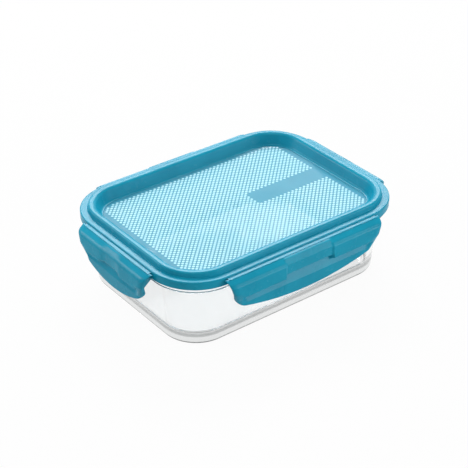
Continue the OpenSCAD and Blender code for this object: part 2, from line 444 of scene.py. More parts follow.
    def finish(self) -> bpy.types.Object:
        """Shades the piece, with its sharp edges kept, and leaves edit mode.

        Returns:
            The finished object.
        """
        self.leave()
        bpy.ops.object.shade_smooth_by_angle(angle=math.radians(self.CREASE_DEG))
        self.modify("WEIGHTED_NORMAL", keep_sharp=True)
        return self.leave()


class Nodes:
    """Short calls to fill a node tree.

    Attributes:
        tree: the tree that is filled.
    """

    def __init__(self, tree: bpy.types.NodeTree) -> None:
        """Takes the tree to fill."""
        self.tree = tree

    def add(self, kind: str, **settings: object) -> bpy.types.Node:
        """Adds a node.

        Args:
            kind: Blender's name of the node type.
            settings: properties of the node, such as its operation.

        Returns:
            The new node.
        """
        node = self.tree.nodes.new(kind)
        for name, value in settings.items():
            setattr(node, name, value)
        return node

    def feed(self, socket: bpy.types.NodeSocket, source: object) -> None:
        """Links a source to an input, or sets the input to a plain value.

        Args:
            socket: the input.
            source: an output socket, a number, a colour or a vector.
        """
        if isinstance(source, bpy.types.NodeSocket):
            self.tree.links.new(source, socket)
        elif socket.type == "RGBA":
            socket.default_value = (*source, 1.0)
        else:
            socket.default_value = source

    def math(self, operation: str, a: object, b: object = 0.0) -> bpy.types.NodeSocket:
        """Adds a sum on one or two numbers.

        Args:
            operation: Blender's name of the sum.
            a: first number or socket.
            b: second number or socket.

        Returns:
            The result.
        """
        node = self.add("ShaderNodeMath", operation=operation)
        self.feed(node.inputs[0], a)
        self.feed(node.inputs[1], b)
        return node.outputs[0]

    def vector(self, operation: str, a: object, b: object = (0.0, 0.0, 0.0)) -> bpy.types.NodeSocket:
        """Adds a sum on one or two vectors.

        Args:
            operation: Blender's name of the sum.
            a: first vector or socket.
            b: second vector or socket.

        Returns:
            The result, which is a number for a length and otherwise a vector.
        """
        node = self.add("ShaderNodeVectorMath", operation=operation)
        self.feed(node.inputs[0], a)
        self.feed(node.inputs[1], b)
        return node.outputs["Value" if operation == "LENGTH" else "Vector"]

    def ramp(
        self, value: object, low: object, high: object, to_low: object = 0.0, to_high: object = 1.0
    ) -> bpy.types.NodeSocket:
        """Maps a value smoothly from one span to another.

        Args:
            value: the value.
            low: where the span starts.
            high: where it ends.
            to_low: result at the start.
            to_high: result at the end.

        Returns:
            The mapped value.
        """
        node = self.add("ShaderNodeMapRange", interpolation_type="SMOOTHSTEP")
        inputs = {"Value": value, "From Min": low, "From Max": high, "To Min": to_low, "To Max": to_high}
        for name, source in inputs.items():
            self.feed(node.inputs[name], source)
        return node.outputs["Result"]

    def mix(self, factor: object, a: object, b: object) -> bpy.types.NodeSocket:
        """Mixes two colours.

        Args:
            factor: share of the second colour.
            a: first colour or socket.
            b: second colour or socket.

        Returns:
            The mixed colour.
        """
        node = self.add("ShaderNodeMix", data_type="RGBA")
        # Inputs 6 and 7 and output 2 are the mix node's sockets for colours.
        for index, source in ((0, factor), (6, a), (7, b)):
            self.feed(node.inputs[index], source)
        return node.outputs[2]

    def noise(self, where: object, size: float, detail: float = 2.0) -> bpy.types.NodeSocket:
        """Adds noise of a real size.

        Args:
            where: the coordinates.
            size: size of its patches in metres.
            detail: octaves of finer noise in it.

        Returns:
            Its value, from 0 to 1.
        """
        node = self.add("ShaderNodeTexNoise")
        self.feed(node.inputs["Vector"], where)
        node.inputs["Scale"].default_value = 1 / size
        node.inputs["Detail"].default_value = detail
        return node.outputs["Fac"]

    def group(self, tree: bpy.types.NodeTree, **inputs: object) -> bpy.types.Node:
        """Places a node group.

        Args:
            tree: the group.
            inputs: values or sockets for its inputs, with _ for each space in a name.

        Returns:
            The group node.
        """
        node = self.add("ShaderNodeGroup", node_tree=tree)
        for name, source in inputs.items():
            self.feed(node.inputs[name.replace("_", " ")], source)
        return node

    def seen(self) -> bpy.types.NodeSocket:
        """Marks what the eye sees, straight or by way of gloss and glass.

        Returns:
            1 for such a ray, and 0 for one that carries light.
        """
        path = self.add("ShaderNodeLightPath")
        mark = path.outputs["Is Camera Ray"]
        for title in ("Is Glossy Ray", "Is Transmission Ray"):
            mark = self.math("MAXIMUM", mark, path.outputs[title])
        return mark


class Effect:
    """A shader node group that several finishes share, built once.

    Attributes:
        tree: the group.
        nodes: short calls to fill it.
        source: its input node.
        sink: its output node.
    """

    def __init__(self, name: str, inputs: dict[str, str], outputs: dict[str, str]) -> None:
        """Starts the group.

        Args:
            name: name of the group.
            inputs: input names with their socket types.
            outputs: output names with their socket types.
        """
        self.tree = bpy.data.node_groups.new(name, "ShaderNodeTree")
        for title, kind in inputs.items():
            self.tree.interface.new_socket(title, in_out="INPUT", socket_type=kind)
        for title, kind in outputs.items():
            self.tree.interface.new_socket(title, in_out="OUTPUT", socket_type=kind)
        self.nodes = Nodes(self.tree)
        self.source = self.nodes.add("NodeGroupInput")
        self.sink = self.nodes.add("NodeGroupOutput")

    def take(self, title: str) -> bpy.types.NodeSocket:
        """Gives the socket of a group input."""
        return self.source.outputs[title]

    def give(self, title: str, value: bpy.types.NodeSocket) -> None:
        """Links a value to a group output."""
        self.nodes.feed(self.sink.inputs[title], value)


def moulded_grain() -> bpy.types.NodeTree:
    """Builds the fine grain that a mould leaves on plastic and rubber.

    Returns:
        A group with the height of the grain, a slow mottle and the roughness that goes with them.
    """
    effect = Effect(
        "moulded_grain",
        {"Vector": VECTOR, "Roughness": FLOAT, "Spread": FLOAT},
        {"Height": FLOAT, "Mottle": FLOAT, "Roughness": FLOAT},
    )
    nodes, where = effect.nodes, effect.take("Vector")
    fine = nodes.noise(where, 0.25 * MM, 3.0)
    slow = nodes.noise(where, 22 * MM, 3.0)
    handled = nodes.noise(where, 6 * MM, 4.0)
    swing = nodes.math("MULTIPLY", nodes.math("SUBTRACT", handled, 0.5), effect.take("Spread"))
    effect.give("Height", fine)
    effect.give("Mottle", slow)
    effect.give("Roughness", nodes.math("ADD", effect.take("Roughness"), swing))
    return effect.tree


def clear_smudge() -> bpy.types.NodeTree:
    """Builds the faint waves and wiped smudges of a clear surface.

    Returns:
        A group with the height of the waves and the roughness of the smudges.
    """
    effect = Effect(
        "clear_smudge",
        {"Vector": VECTOR, "Roughness": FLOAT, "Haze": FLOAT},
        {"Height": FLOAT, "Roughness": FLOAT},
    )
    nodes, where = effect.nodes, effect.take("Vector")
    wave = nodes.noise(where, 45 * MM, 1.0)
    wiped = nodes.vector("MULTIPLY", where, (1.0, 0.35, 1.0))
    smudge = nodes.ramp(nodes.noise(wiped, 18 * MM, 5.0), 0.52, 0.75, 0.0, effect.take("Haze"))
    effect.give("Height", wave)
    effect.give("Roughness", nodes.math("ADD", effect.take("Roughness"), smudge))
    return effect.tree


def rounded_patch() -> bpy.types.NodeTree:
    """Builds the mask of a flat patch with rounded corners.

    Returns:
        A group that gives 1 inside the patch and 0 outside it.
    """
    effect = Effect(
        "rounded_patch",
        {"Vector": VECTOR, "Centre": VECTOR, "Half": VECTOR, "Radius": FLOAT},
        {"Mask": FLOAT},
    )
    nodes, radius = effect.nodes, effect.take("Radius")
    moved = nodes.vector("SUBTRACT", effect.take("Vector"), effect.take("Centre"))
    past = nodes.vector("SUBTRACT", nodes.vector("ABSOLUTE", moved), effect.take("Half"))
    corner = nodes.add("ShaderNodeCombineXYZ")
    for axis in "XY":
        nodes.feed(corner.inputs[axis], radius)
    outside = nodes.vector("MAXIMUM", nodes.vector("ADD", past, corner.outputs[0]))
    distance = nodes.vector("LENGTH", nodes.vector("MULTIPLY", outside, (1.0, 1.0, 0.0)))
    effect.give("Mask", nodes.math("LESS_THAN", distance, radius))
    return effect.tree


class Shader(Nodes):
    """A material under construction, around one Principled shader.

    Attributes:
        material: the material.
        bsdf: its Principled shader.
        out: its output node.
        where: object coordinates.
    """

    def __init__(self, name: str) -> None:
        """Starts a material.

        Args:
            name: name of the material.
        """
        self.material = bpy.data.materials.new(name)
        self.material.use_nodes = True
        super().__init__(self.material.node_tree)
        self.bsdf = self.tree.nodes["Principled BSDF"]
        self.out = self.tree.nodes["Material Output"]
        self.where = self.add("ShaderNodeTexCoord").outputs["Object"]

    def set(self, **values: object) -> None:
        """Feeds inputs of the Principled shader, with _ for each space in a name."""
        for name, source in values.items():
            self.feed(self.bsdf.inputs[name.replace("_", " ")], source)

    def bump(self, height: bpy.types.NodeSocket, depth: float) -> None:
        """Raises the surface by a height map.

        Args:
            height: the map, from 0 to 1.
            depth: height of its peaks in metres.
        """
        node = self.add("ShaderNodeBump")
        node.inputs["Distance"].default_value = depth
        self.feed(node.inputs["Height"], height)
        self.feed(self.bsdf.inputs["Normal"], node.outputs["Normal"])

    def mix_in(self, share: bpy.types.NodeSocket, other: bpy.types.Node) -> None:
        """Mixes another shader into what the material shows.

        Args:
            share: share of the other shader.
            other: that shader.
        """
        mixer = self.add("ShaderNodeMixShader")
        surface = self.out.inputs["Surface"]
        for index, source in enumerate((share, surface.links[0].from_socket, other.outputs[0])):
            self.feed(mixer.inputs[index], source)
        self.feed(surface, mixer.outputs[0])

    def pass_light(self, colour: Colour) -> None:
        """Lets light through to what is behind, as clear material does, where shadows would be black.

        Args:
            colour: tint of the light that passes.
        """
        clear = self.add("ShaderNodeBsdfTransparent")
        self.feed(clear.inputs["Color"], colour)
        self.mix_in(self.add("ShaderNodeLightPath").outputs["Is Shadow Ray"], clear)

    def keep_light(self, colour: Colour, turns: int) -> None:
        """Stands in for light that runs on inside clear material after many inner reflections.

        Args:
            colour: what such light looks like.
            turns: inner reflections after which it is shown.
        """
        glow = self.add("ShaderNodeEmission")
        self.feed(glow.inputs["Color"], colour)
        depth = self.add("ShaderNodeLightPath").outputs["Glossy Depth"]
        self.mix_in(self.math("GREATER_THAN", depth, turns - 0.5), glow)


@dataclass(frozen=True)
class GlassFinish:
    """Clear pressed glass.

    Attributes:
        tint: colour of the glass.
        band_tint: grey painted shade where the wall meets the thick floor.
        foot_tint: near-black painted shadow along the lower edge, where the glass is thickest.
        shade_tint: colour of the light that it lets through.
        inner_tint: colour of the light that stays inside it.
        inner_turns: inner reflections after which light counts as such.
        foot_top: height where the painted shadow of the lower edge starts to fade.
        band_low: height where the painted shade of the band starts.
        band_high: height where that painted shade starts to fade.
        fade: height over which the glass tint and each painted shade turn into one another.
        level_span: how level a face is where the painted shadow of the lower edge starts to fade, and where
            it ends.
        roughness: roughness where it is clean.
        haze: roughness that smudges add.
        wave: depth of the waves in its surface.
        ior: how strongly it bends light.
    """

    tint: Colour = (0.958, 0.962, 0.962)
    # The next two colours are painted shade, not colours of the glass: a grey band and a near-black shadow
    # line at the foot.
    band_tint: Colour = (0.34, 0.35, 0.35)
    foot_tint: Colour = (0.03, 0.032, 0.032)
    shade_tint: Colour = (0.93, 0.95, 0.95)
    inner_tint: Colour = (0.76, 0.77, 0.77)
    inner_turns: int = 4
    foot_top: float = 1.6 * MM
    band_low: float = 5.8 * MM
    band_high: float = 9.6 * MM
    fade: float = 1.2 * MM
    level_span: tuple[float, float] = (0.85, 0.95)
    roughness: float = 0.0
    haze: float = 0.03
    wave: float = 0.02 * MM
    ior: float = 1.5

    def material(self, smudge: bpy.types.NodeTree) -> bpy.types.Material:
        """Builds the material.

        Args:
            smudge: the shared smudge effect.

        Returns:
            The material.
        """
        shader = Shader("pressed_glass")
        marks = shader.group(smudge, Vector=shader.where, Roughness=self.roughness, Haze=self.haze)
        shader.set(
            # The glass colour carries painted shade round the foot.
            Base_Color=self.depth_tint(shader),
            Roughness=marks.outputs["Roughness"],
            IOR=self.ior,
            Transmission_Weight=1.0,
        )
        shader.bump(marks.outputs["Height"], self.wave)
        shader.pass_light(self.shade_tint)
        shader.keep_light(self.inner_tint, self.inner_turns)
        return shader.material

    def depth_tint(self, shader: Shader) -> bpy.types.NodeSocket:
        """Builds the glass colour with painted shade round the thick foot: a grey band where the wall meets
        the floor and a near-black painted shadow along the lower edge.

        Args:
            shader: the material.

        Returns:
            The colour of the glass.
        """
        place = shader.add("ShaderNodeSeparateXYZ")
        shader.feed(place.inputs[0], shader.where)
        facing = shader.add("ShaderNodeSeparateXYZ")
        shader.feed(facing.inputs[0], shader.add("ShaderNodeNewGeometry").outputs["Normal"])
        z, level = place.outputs["Z"], shader.math("ABSOLUTE", facing.outputs["Z"])
        # Painted shade: grey in the band where the wall meets the floor, and a near-black painted shadow on
        # steep faces near the table.
        in_band = shader.ramp(z, self.band_low, self.band_low + self.fade)
        past_band = shader.ramp(z, self.band_high, self.band_high + self.fade)
        band = shader.math("SUBTRACT", in_band, past_band)
        low = shader.ramp(z, self.foot_top, self.foot_top + self.fade, 1.0, 0.0)
        steep = shader.ramp(level, *self.level_span, 1.0, 0.0)
        edge = shader.math("MULTIPLY", low, steep)
        return shader.mix(edge, shader.mix(band, self.tint, self.band_tint), self.foot_tint)


@dataclass(frozen=True)
class PlasticFinish:
    """Satin moulded plastic.

    Attributes:
        name: name of the material.
        colour: main colour.
        deep: colour that the mottle swings towards.
        roughness: mean roughness.
        spread: swing of the roughness.
        gloss: strength of its reflections.
        grain: depth of the mould's grain.
    """

    name: str
    colour: Colour
    deep: Colour
    roughness: float = 0.26
    spread: float = 0.12
    gloss: float = 0.13
    grain: float = 0.004 * MM

    def material(self, grain: bpy.types.NodeTree) -> bpy.types.Material:
        """Builds the material.

        Args:
            grain: the shared grain effect.

        Returns:
            The material.
        """
        shader = Shader(self.name)
        skin = shader.group(grain, Vector=shader.where, Roughness=self.roughness, Spread=self.spread)
        tone = shader.ramp(skin.outputs["Mottle"], *MOTTLE_SPAN)
        shader.set(
            Base_Color=shader.mix(tone, self.colour, self.deep),
            Roughness=skin.outputs["Roughness"],
            IOR=PLASTIC_IOR,
            Specular_IOR_Level=self.gloss,
        )
        shader.bump(skin.outputs["Height"], self.grain)
        return shader.material


@dataclass(frozen=True)
class DottedFinish:
    """See-through plastic with a field of pale printed dots and one bare strip.

    Attributes:
        colour: colour of the bare plastic.
        ink: colour of the dots.
        milk: most of the dots' colour that the bare plastic takes on in patches.
        body: how solid the bare plastic looks.
        cloud: swing of that.
        cover: how solid a dot looks.
        pitch: distance between dots in a row, and between rows of the same stagger.
        dot_r: radius of a dot.
        blur: softness of a dot's edge, as a share of its radius.
        relief: height of the dots.
        grain: height of the mould's grain, as a share of the dots' height.
        field_half: half the length and width of the dotted field.
        field_r: corner radius of the field.
        strip_centre: middle of the bare strip.
        strip_half: half the length and width of the bare strip.
        strip_r: corner radius of the bare strip.
        roughness: mean roughness.
        spread: swing of the roughness.
        haze: roughness that smudges add.
        gloss: strength of its reflections.
    """

    colour: Colour = srgb(62, 160, 189)
    ink: Colour = srgb(182, 234, 245)
    milk: float = 0.1
    body: float = 0.72
    cloud: float = 0.03
    cover: float = 0.88
    pitch: float = 3.62 * MM
    dot_r: float = 0.96 * MM
    blur: float = 0.1
    relief: float = 0.02 * MM
    grain: float = 0.15
    field_half: tuple[float, float] = (79.5 * MM, 54.5 * MM)
    field_r: float = 11 * MM
    strip_centre: tuple[float, float] = (49 * MM, -0.2 * MM)
    strip_half: tuple[float, float] = (33 * MM, 7.6 * MM)
    strip_r: float = 0.5 * MM
    roughness: float = 0.22
    spread: float = 0.08
    haze: float = 0.08
    gloss: float = 0.03

    def lattice(self, shader: Shader, patch: bpy.types.NodeTree, phase: float) -> bpy.types.NodeSocket:
        """Builds one of the two square lattices of dots that make the stagger.

        Args:
            shader: the material.
            patch: the shared patch mask.
            phase: shift of the lattice in pitches.

        Returns:
            A mask that is 1 on the dots.
        """
        shift, half = (phase, phase, 0.0), (0.5, 0.5, 0.0)
        cells = shader.vector("MULTIPLY", shader.where, (1 / self.pitch, 1 / self.pitch, 0.0))
        cells = shader.vector("ADD", cells, shift)
        away = shader.vector("SUBTRACT", shader.vector("FRACTION", cells), half)
        edge = self.dot_r / self.pitch
        start, end = edge * (1 - self.blur), edge * (1 + self.blur)
        dot = shader.ramp(shader.vector("LENGTH", away), start, end, 1.0, 0.0)
        corner = shader.vector("SUBTRACT", shader.vector("FLOOR", cells), shift)
        middle = shader.vector("ADD", corner, half)
        middle = shader.vector("MULTIPLY", middle, (self.pitch, self.pitch, 0.0))
        field = shader.group(
            patch,
            Vector=middle,
            Centre=(0, 0, 0),
            Half=(*self.field_half, 0),
            Radius=self.field_r,
        )
        strip = shader.group(
            patch,
            Vector=middle,
            Centre=(*self.strip_centre, 0),
            Half=(*self.strip_half, 0),
            Radius=self.strip_r,
        )
        shown = shader.math("SUBTRACT", field.outputs["Mask"], strip.outputs["Mask"])
        return shader.math("MULTIPLY", dot, shader.math("MAXIMUM", shown, 0.0))

    def material(
        self, grain: bpy.types.NodeTree, smudge: bpy.types.NodeTree, patch: bpy.types.NodeTree
    ) -> bpy.types.Material:
        """Builds the material.

        Args:
            grain: the shared grain effect.
            smudge: the shared smudge effect.
            patch: the shared patch mask.

        Returns:
            The material.
        """
        shader = Shader("dotted_window")
        skin = shader.group(grain, Vector=shader.where, Roughness=self.roughness, Spread=self.spread)
        mottle, rough = skin.outputs["Mottle"], skin.outputs["Roughness"]
        marks = shader.group(smudge, Vector=shader.where, Roughness=rough, Haze=self.haze)
        dots = shader.math("MAXIMUM", self.lattice(shader, patch, 0.0), self.lattice(shader, patch, 0.5))
        cloud = shader.ramp(mottle, *MOTTLE_SPAN, self.body - self.cloud, self.body + self.cloud)
        bare = shader.mix(shader.math("MULTIPLY", mottle, self.milk), self.colour, self.ink)
        # Inputs 2 and 3 and output 0 are the mix node's sockets for numbers.
        thick = shader.add("ShaderNodeMix", data_type="FLOAT")
        for index, source in ((0, dots), (2, cloud), (3, self.cover)):
            shader.feed(thick.inputs[index], source)
        shader.set(
            Base_Color=shader.mix(dots, bare, self.ink),
            Roughness=marks.outputs["Roughness"],
            Alpha=thick.outputs[0],
            IOR=PLASTIC_IOR,
            Specular_IOR_Level=self.gloss,
        )
        grain_height = shader.math("MULTIPLY", skin.outputs["Height"], self.grain)
        shader.bump(shader.math("ADD", dots, grain_height), self.relief)
        return shader.material


@dataclass(frozen=True)
class Finishes:
    """The materials of the container, ready to put on its pieces.

    Attributes:
        glass: pressed glass.
        teal: plastic of the lid frame and latches.
        window: dotted window plastic.
        seal: pale rubber.
    """

    glass: bpy.types.Material
    teal: bpy.types.Material
    window: bpy.types.Material
    seal: bpy.types.Material

    @classmethod
    def mix(cls) -> "Finishes":
        """Builds the shared effects and the four materials.

        Returns:
            The materials.
        """
        grain, smudge, patch = moulded_grain(), clear_smudge(), rounded_patch()
        teal = PlasticFinish("teal_plastic", srgb(18, 151, 180), srgb(12, 143, 172))
        pale = PlasticFinish(
            "seal_rubber", srgb(232, 238, 240), srgb(222, 230, 233), roughness=0.6, grain=0.01 * MM
        )
        return cls(
            GlassFinish().material(smudge),
            teal.material(grain),
            DottedFinish().material(grain, smudge, patch),
            pale.material(grain),
        )


def dress(obj: bpy.types.Object, material: bpy.types.Material, node: str) -> None:
    """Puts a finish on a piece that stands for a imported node.

    Args:
        obj: the piece.
        material: its finish.
        node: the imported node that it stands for.
    """
    obj.data.materials.clear()
    obj.data.materials.append(material)
    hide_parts(node)
    LOG.info("%s: %d faces, for %s", obj.name, len(obj.data.polygons), node)


@dataclass
class GlassDish:
    """The pressed glass dish.

    Attributes:
        rim: outline of its rim.
        height: height of the rim.
        wall_t: thickness of the wall.
        floor_t: thickness of the floor.
        draft_deg: lean of the wall.
        rim_out: overhang of the rim.
        rim_h: height of the rim band.
        rim_edge_r: rounding of the rim edges.
        under_rim_r: rounding of the corner under the rim.
        foot_r: rounding of the lower edge.
        floor_r: rounding inside, above the floor.
        push_up: depth of the hollow under the base.
        hollow_w: width of the slope that rises to it.
        run_on: how far the section runs on past a rounding, in radii.
    """

    rim: RimOutline
    height: float
    wall_t: float = 4 * MM
    floor_t: float = 5 * MM
    draft_deg: float = 4.0
    rim_out: float = 5.1 * MM
    rim_h: float = 8 * MM
    rim_edge_r: float = 1.5 * MM
    under_rim_r: float = 0.8 * MM
    foot_r: float = 2.5 * MM
    floor_r: float = 6 * MM
    push_up: float = 0.7 * MM
    hollow_w: float = 1 * MM
    run_on: float = 2.2

    def wall_x(self, z: float) -> float:
        """Outside of the wall at a height, measured from the rim."""
        return -self.rim_out - (self.height - self.rim_h - z) * math.tan(math.radians(self.draft_deg))

    def profile(self) -> list[Knot]:
        """Lists the section from the middle of the base to the middle of the floor.

        Returns:
            Corners of the section.
        """
        band_z = self.height - self.rim_h
        past_foot = self.run_on * self.foot_r
        past_floor = self.run_on * self.floor_r
        inside = self.wall_x(self.floor_t) - self.wall_t
        return [
            Knot(self.wall_x(0) - past_foot, 0),
            Knot(self.wall_x(0), 0, self.foot_r),
            Knot(self.wall_x(band_z), band_z, self.under_rim_r),
            Knot(0, band_z, self.rim_edge_r),
            Knot(0, self.height, self.rim_edge_r),
            Knot(self.wall_x(self.height) - self.wall_t, self.height, self.rim_edge_r),
            Knot(inside, self.floor_t, self.floor_r),
            Knot(inside - past_floor, self.floor_t),
        ]

    def build(self) -> bpy.types.Object:
        """Models the dish.

        Returns:
            The piece.
        """
        bench = Bench("glass_dish_shell")
        bench.draw(self.profile(), self.rim.start, closed=False, segments=8)
        bench.sweep(self.rim)
        for z in (0.0, self.floor_t):
            bench.pick(lambda p: abs(p.z - z) < Bench.SAME and self.on_edge(p, z))
            bpy.ops.mesh.edge_face_add()
        bench.clean()
        bench.pick_faces(lambda at, n: at.z < Bench.SAME and at.length < MM)
        bpy.ops.mesh.inset(thickness=self.hollow_w)
        bench.move((0, 0, self.push_up))
        bench.clean()
        return bench.finish()

    def on_edge(self, p: Vector, z: float) -> bool:
        """Tells whether a point lies on the open edge that the sweep leaves at the base or the floor.

        Args:
            p: the point.
            z: height of the base or the floor.

        Returns:
            Whether it does.
        """
        knot = self.profile()[0 if z == 0.0 else -1]
        r = self.rim.corner_r + knot.x
        dx = max(abs(p.x) - self.rim.core_l / 2, 0)
        dy = max(abs(p.y) - self.rim.core_w / 2, 0)
        return math.hypot(dx, dy) < r + Bench.SAME

    def dress(self, obj: bpy.types.Object, finishes: Finishes) -> None:
        """Puts the glass on the piece and lets it ride."""
        dress(obj, finishes.glass, "glass_dish")
        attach(obj, "dish_body")


@dataclass
class LidFrame:
    """The plastic frame of the lid: skirt, ledge, raised ring and the wall down to the window.

    Attributes:
        rim: outline of the dish rim.
        top_z: height of the raised ring.
        ledge_drop: ring down to the ledge.
        skirt_h: height of the skirt.
        skirt_in: gap between rim and skirt.
        skirt_t: thickness of the skirt.
        ledge_w: width of the ledge.
        ring_w: width of the raised ring.
        ring_lean: lean of the outside of the ring.
        window_drop: ring down to the window.
        well_lean: lean of the wall around the window.
        toe_w: width of the toe over the window.
        toe_t: thickness of the toe.
        window_lap: lap of the window under the toe.
        window_t: thickness of the window.
        lap_wall: thickness of the frame outside the lap.
        shell_t: thickness of the moulding.
        foot_r: rounding of the foot of the skirt.
        ledge_r: rounding of the outer edge of the ledge.
        groove_r: rounding where ledge and ring meet.
        ring_r: rounding of the outer edge of the ring.
        well_r: rounding of its inner edge, at the top of the well.
        toe_r: rounding where the wall of the well meets the toe.
        soft_r: rounding of the inner corners.
        fine_r: rounding of the finest corners.
    """

    rim: RimOutline
    top_z: float
    ledge_drop: float = 3.7 * MM
    skirt_h: float = 6.2 * MM
    skirt_in: float = 0.5 * MM
    skirt_t: float = 1.6 * MM
    ledge_w: float = 5.3 * MM
    ring_w: float = 5.5 * MM
    ring_lean: float = 0.8 * MM
    window_drop: float = 8.5 * MM
    well_lean: float = 4 * MM
    toe_w: float = 1.5 * MM
    toe_t: float = 0.8 * MM
    window_lap: float = 2 * MM
    window_t: float = 1.6 * MM
    lap_wall: float = 1.2 * MM
    shell_t: float = 1.8 * MM
    foot_r: float = 0.6 * MM
    ledge_r: float = 0.8 * MM
    groove_r: float = 0.3 * MM
    ring_r: float = 1.5 * MM
    well_r: float = 3.2 * MM
    toe_r: float = 2.2 * MM
    soft_r: float = 0.4 * MM
    fine_r: float = 0.2 * MM

    @property
    def skirt_x(self) -> float:
        """Outside of the skirt, measured from the rim."""
        return self.skirt_in + self.skirt_t

    @property
    def window_z(self) -> float:
        """Height of the window's top face."""
        return self.top_z - self.window_drop

    @property
    def toe_x(self) -> float:
        """Inner edge of the toe, measured from the rim."""
        return self.skirt_x - self.ledge_w - self.ring_w - self.well_lean - self.toe_w

    def profile(self) -> list[Knot]:
        """Lists the section of the frame, anticlockwise from the foot of the skirt.

        Returns:
            Corners of the section.
        """
        ledge_z = self.top_z - self.ledge_drop
        foot_z = ledge_z - self.skirt_h
        groove_x = self.skirt_x - self.ledge_w
        ring_in_x = groove_x - self.ring_w
        well_x = ring_in_x - self.well_lean
        lap_z = self.window_z - self.toe_t
        under_z = self.window_z - self.window_t
        lap_x = self.toe_x + self.window_lap
        foot_x = lap_x + self.lap_wall
        run = self.well_lean / self.window_drop
        back_x = ring_in_x + self.shell_t * math.hypot(1, run)
        channel_z = self.top_z - self.shell_t
        soft, fine = self.soft_r, self.fine_r
        return [
            Knot(self.skirt_in, foot_z, soft),
            Knot(self.skirt_x, foot_z, self.foot_r),
            Knot(self.skirt_x, ledge_z, self.ledge_r),
            Knot(groove_x, ledge_z, self.groove_r),
            Knot(groove_x - self.ring_lean, self.top_z, self.ring_r),
            Knot(ring_in_x, self.top_z, self.well_r),
            Knot(well_x, self.window_z, self.toe_r),
            Knot(self.toe_x, self.window_z, fine),
            Knot(self.toe_x, lap_z),
            Knot(lap_x, lap_z),
            Knot(lap_x, under_z),
            Knot(foot_x, under_z, soft),
            Knot(foot_x, self.top_z - (back_x - foot_x) / run, soft),
            Knot(back_x - self.shell_t * run, channel_z, soft),
            Knot(groove_x - self.shell_t, channel_z, soft),
            Knot(groove_x - self.shell_t, ledge_z - self.shell_t, fine),
            Knot(self.skirt_in, ledge_z - self.shell_t, soft),
        ]

    def build(self) -> bpy.types.Object:
        """Models the frame.

        Returns:
            The piece.
        """
        bench = Bench("lid_frame_shell")
        bench.draw(self.profile(), self.rim.start)
        bench.sweep(self.rim)
        return bench.finish()

    def dress(self, obj: bpy.types.Object, finishes: Finishes) -> None:
        """Puts the teal plastic on the piece and lets it ride."""
        dress(obj, finishes.teal, "lid_frame")
        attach(obj, "lid_body")


@dataclass
class LidWindow:
    """The see-through plate in the lid, lapped under the toe of the frame.

    Attributes:
        lid: the lid frame that holds it.
        clear: gap around its edge.
        edge_w: width of the bevel along its upper edge.
        border_w: width of the flat border inside that bevel.
        gate_r: radius of the ring round the moulding gate, in its middle.
        gate_w: width of that ring.
        gate_h: height of that ring.
        gate_edge_r: rounding of its edges.
        gate_steps: faces round it.
    """

    lid: LidFrame
    clear: float = 0.1 * MM
    edge_w: float = 0.15 * MM
    border_w: float = 1 * MM
    gate_r: float = 2.2 * MM
    gate_w: float = 0.6 * MM
    gate_h: float = 0.25 * MM
    gate_edge_r: float = 0.2 * MM
    gate_steps: int = 32

    def build_gate(self) -> bpy.types.Object:
        """Models the ring round the moulding gate, with its foot in the plate.

        Returns:
            The ring.
        """
        foot_z, top_z = self.lid.window_z - self.gate_h, self.lid.window_z + self.gate_h
        inner, outer = self.gate_r - self.gate_w / 2, self.gate_r + self.gate_w / 2
        section = [
            Knot(inner, foot_z),
            Knot(outer, foot_z),
            Knot(outer, top_z, self.gate_edge_r),
            Knot(inner, top_z, self.gate_edge_r),
        ]
        bench = Bench("window_gate")
        bench.draw(section, (0, 0, 0), segments=3)
        bench.pick_all()
        bpy.ops.mesh.spin(steps=self.gate_steps, angle=2 * math.pi, center=(0, 0, 0), axis=(0, 0, -1))
        bench.clean()
        return bench.leave()

    def build(self) -> bpy.types.Object:
        """Models the plate from its lower outline up.

        Returns:
            The piece.
        """
        lid, rim = self.lid, self.lid.rim
        edge_x = lid.toe_x + lid.window_lap - self.clear
        under_z = lid.window_z - lid.window_t
        gate = self.build_gate()
        bench = Bench("lid_window_panel")
        bench.move((rim.half_l + edge_x, rim.half_w + edge_x, under_z))
        bench.extrude((-2 * (rim.half_l + edge_x), 0, 0))
        bench.pick_all()
        bench.extrude((0, -2 * (rim.half_w + edge_x), 0))
        bench.pick_all()
        bpy.ops.mesh.bevel(offset=rim.corner_r + edge_x, segments=rim.steps, affect="VERTICES")
        bench.clean()
        bench.pick_all()
        bench.extrude((0, 0, lid.window_t - lid.toe_t))
        bench.clean()
        bench.pick_faces(lambda at, n: n.z > 0.9)
        bpy.ops.mesh.inset(thickness=lid.window_lap)
        bench.extrude((0, 0, lid.toe_t - self.edge_w))
        bpy.ops.mesh.inset(thickness=self.edge_w)
        bench.move((0, 0, self.edge_w))
        bpy.ops.mesh.inset(thickness=self.border_w)
        bench.clean()
        bench.join(gate)
        return bench.finish()

    def dress(self, obj: bpy.types.Object, finishes: Finishes) -> None:
        """Puts the dotted plastic on the piece and lets it ride."""
        dress(obj, finishes.window, "lid_window")
        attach(obj, "lid_body")


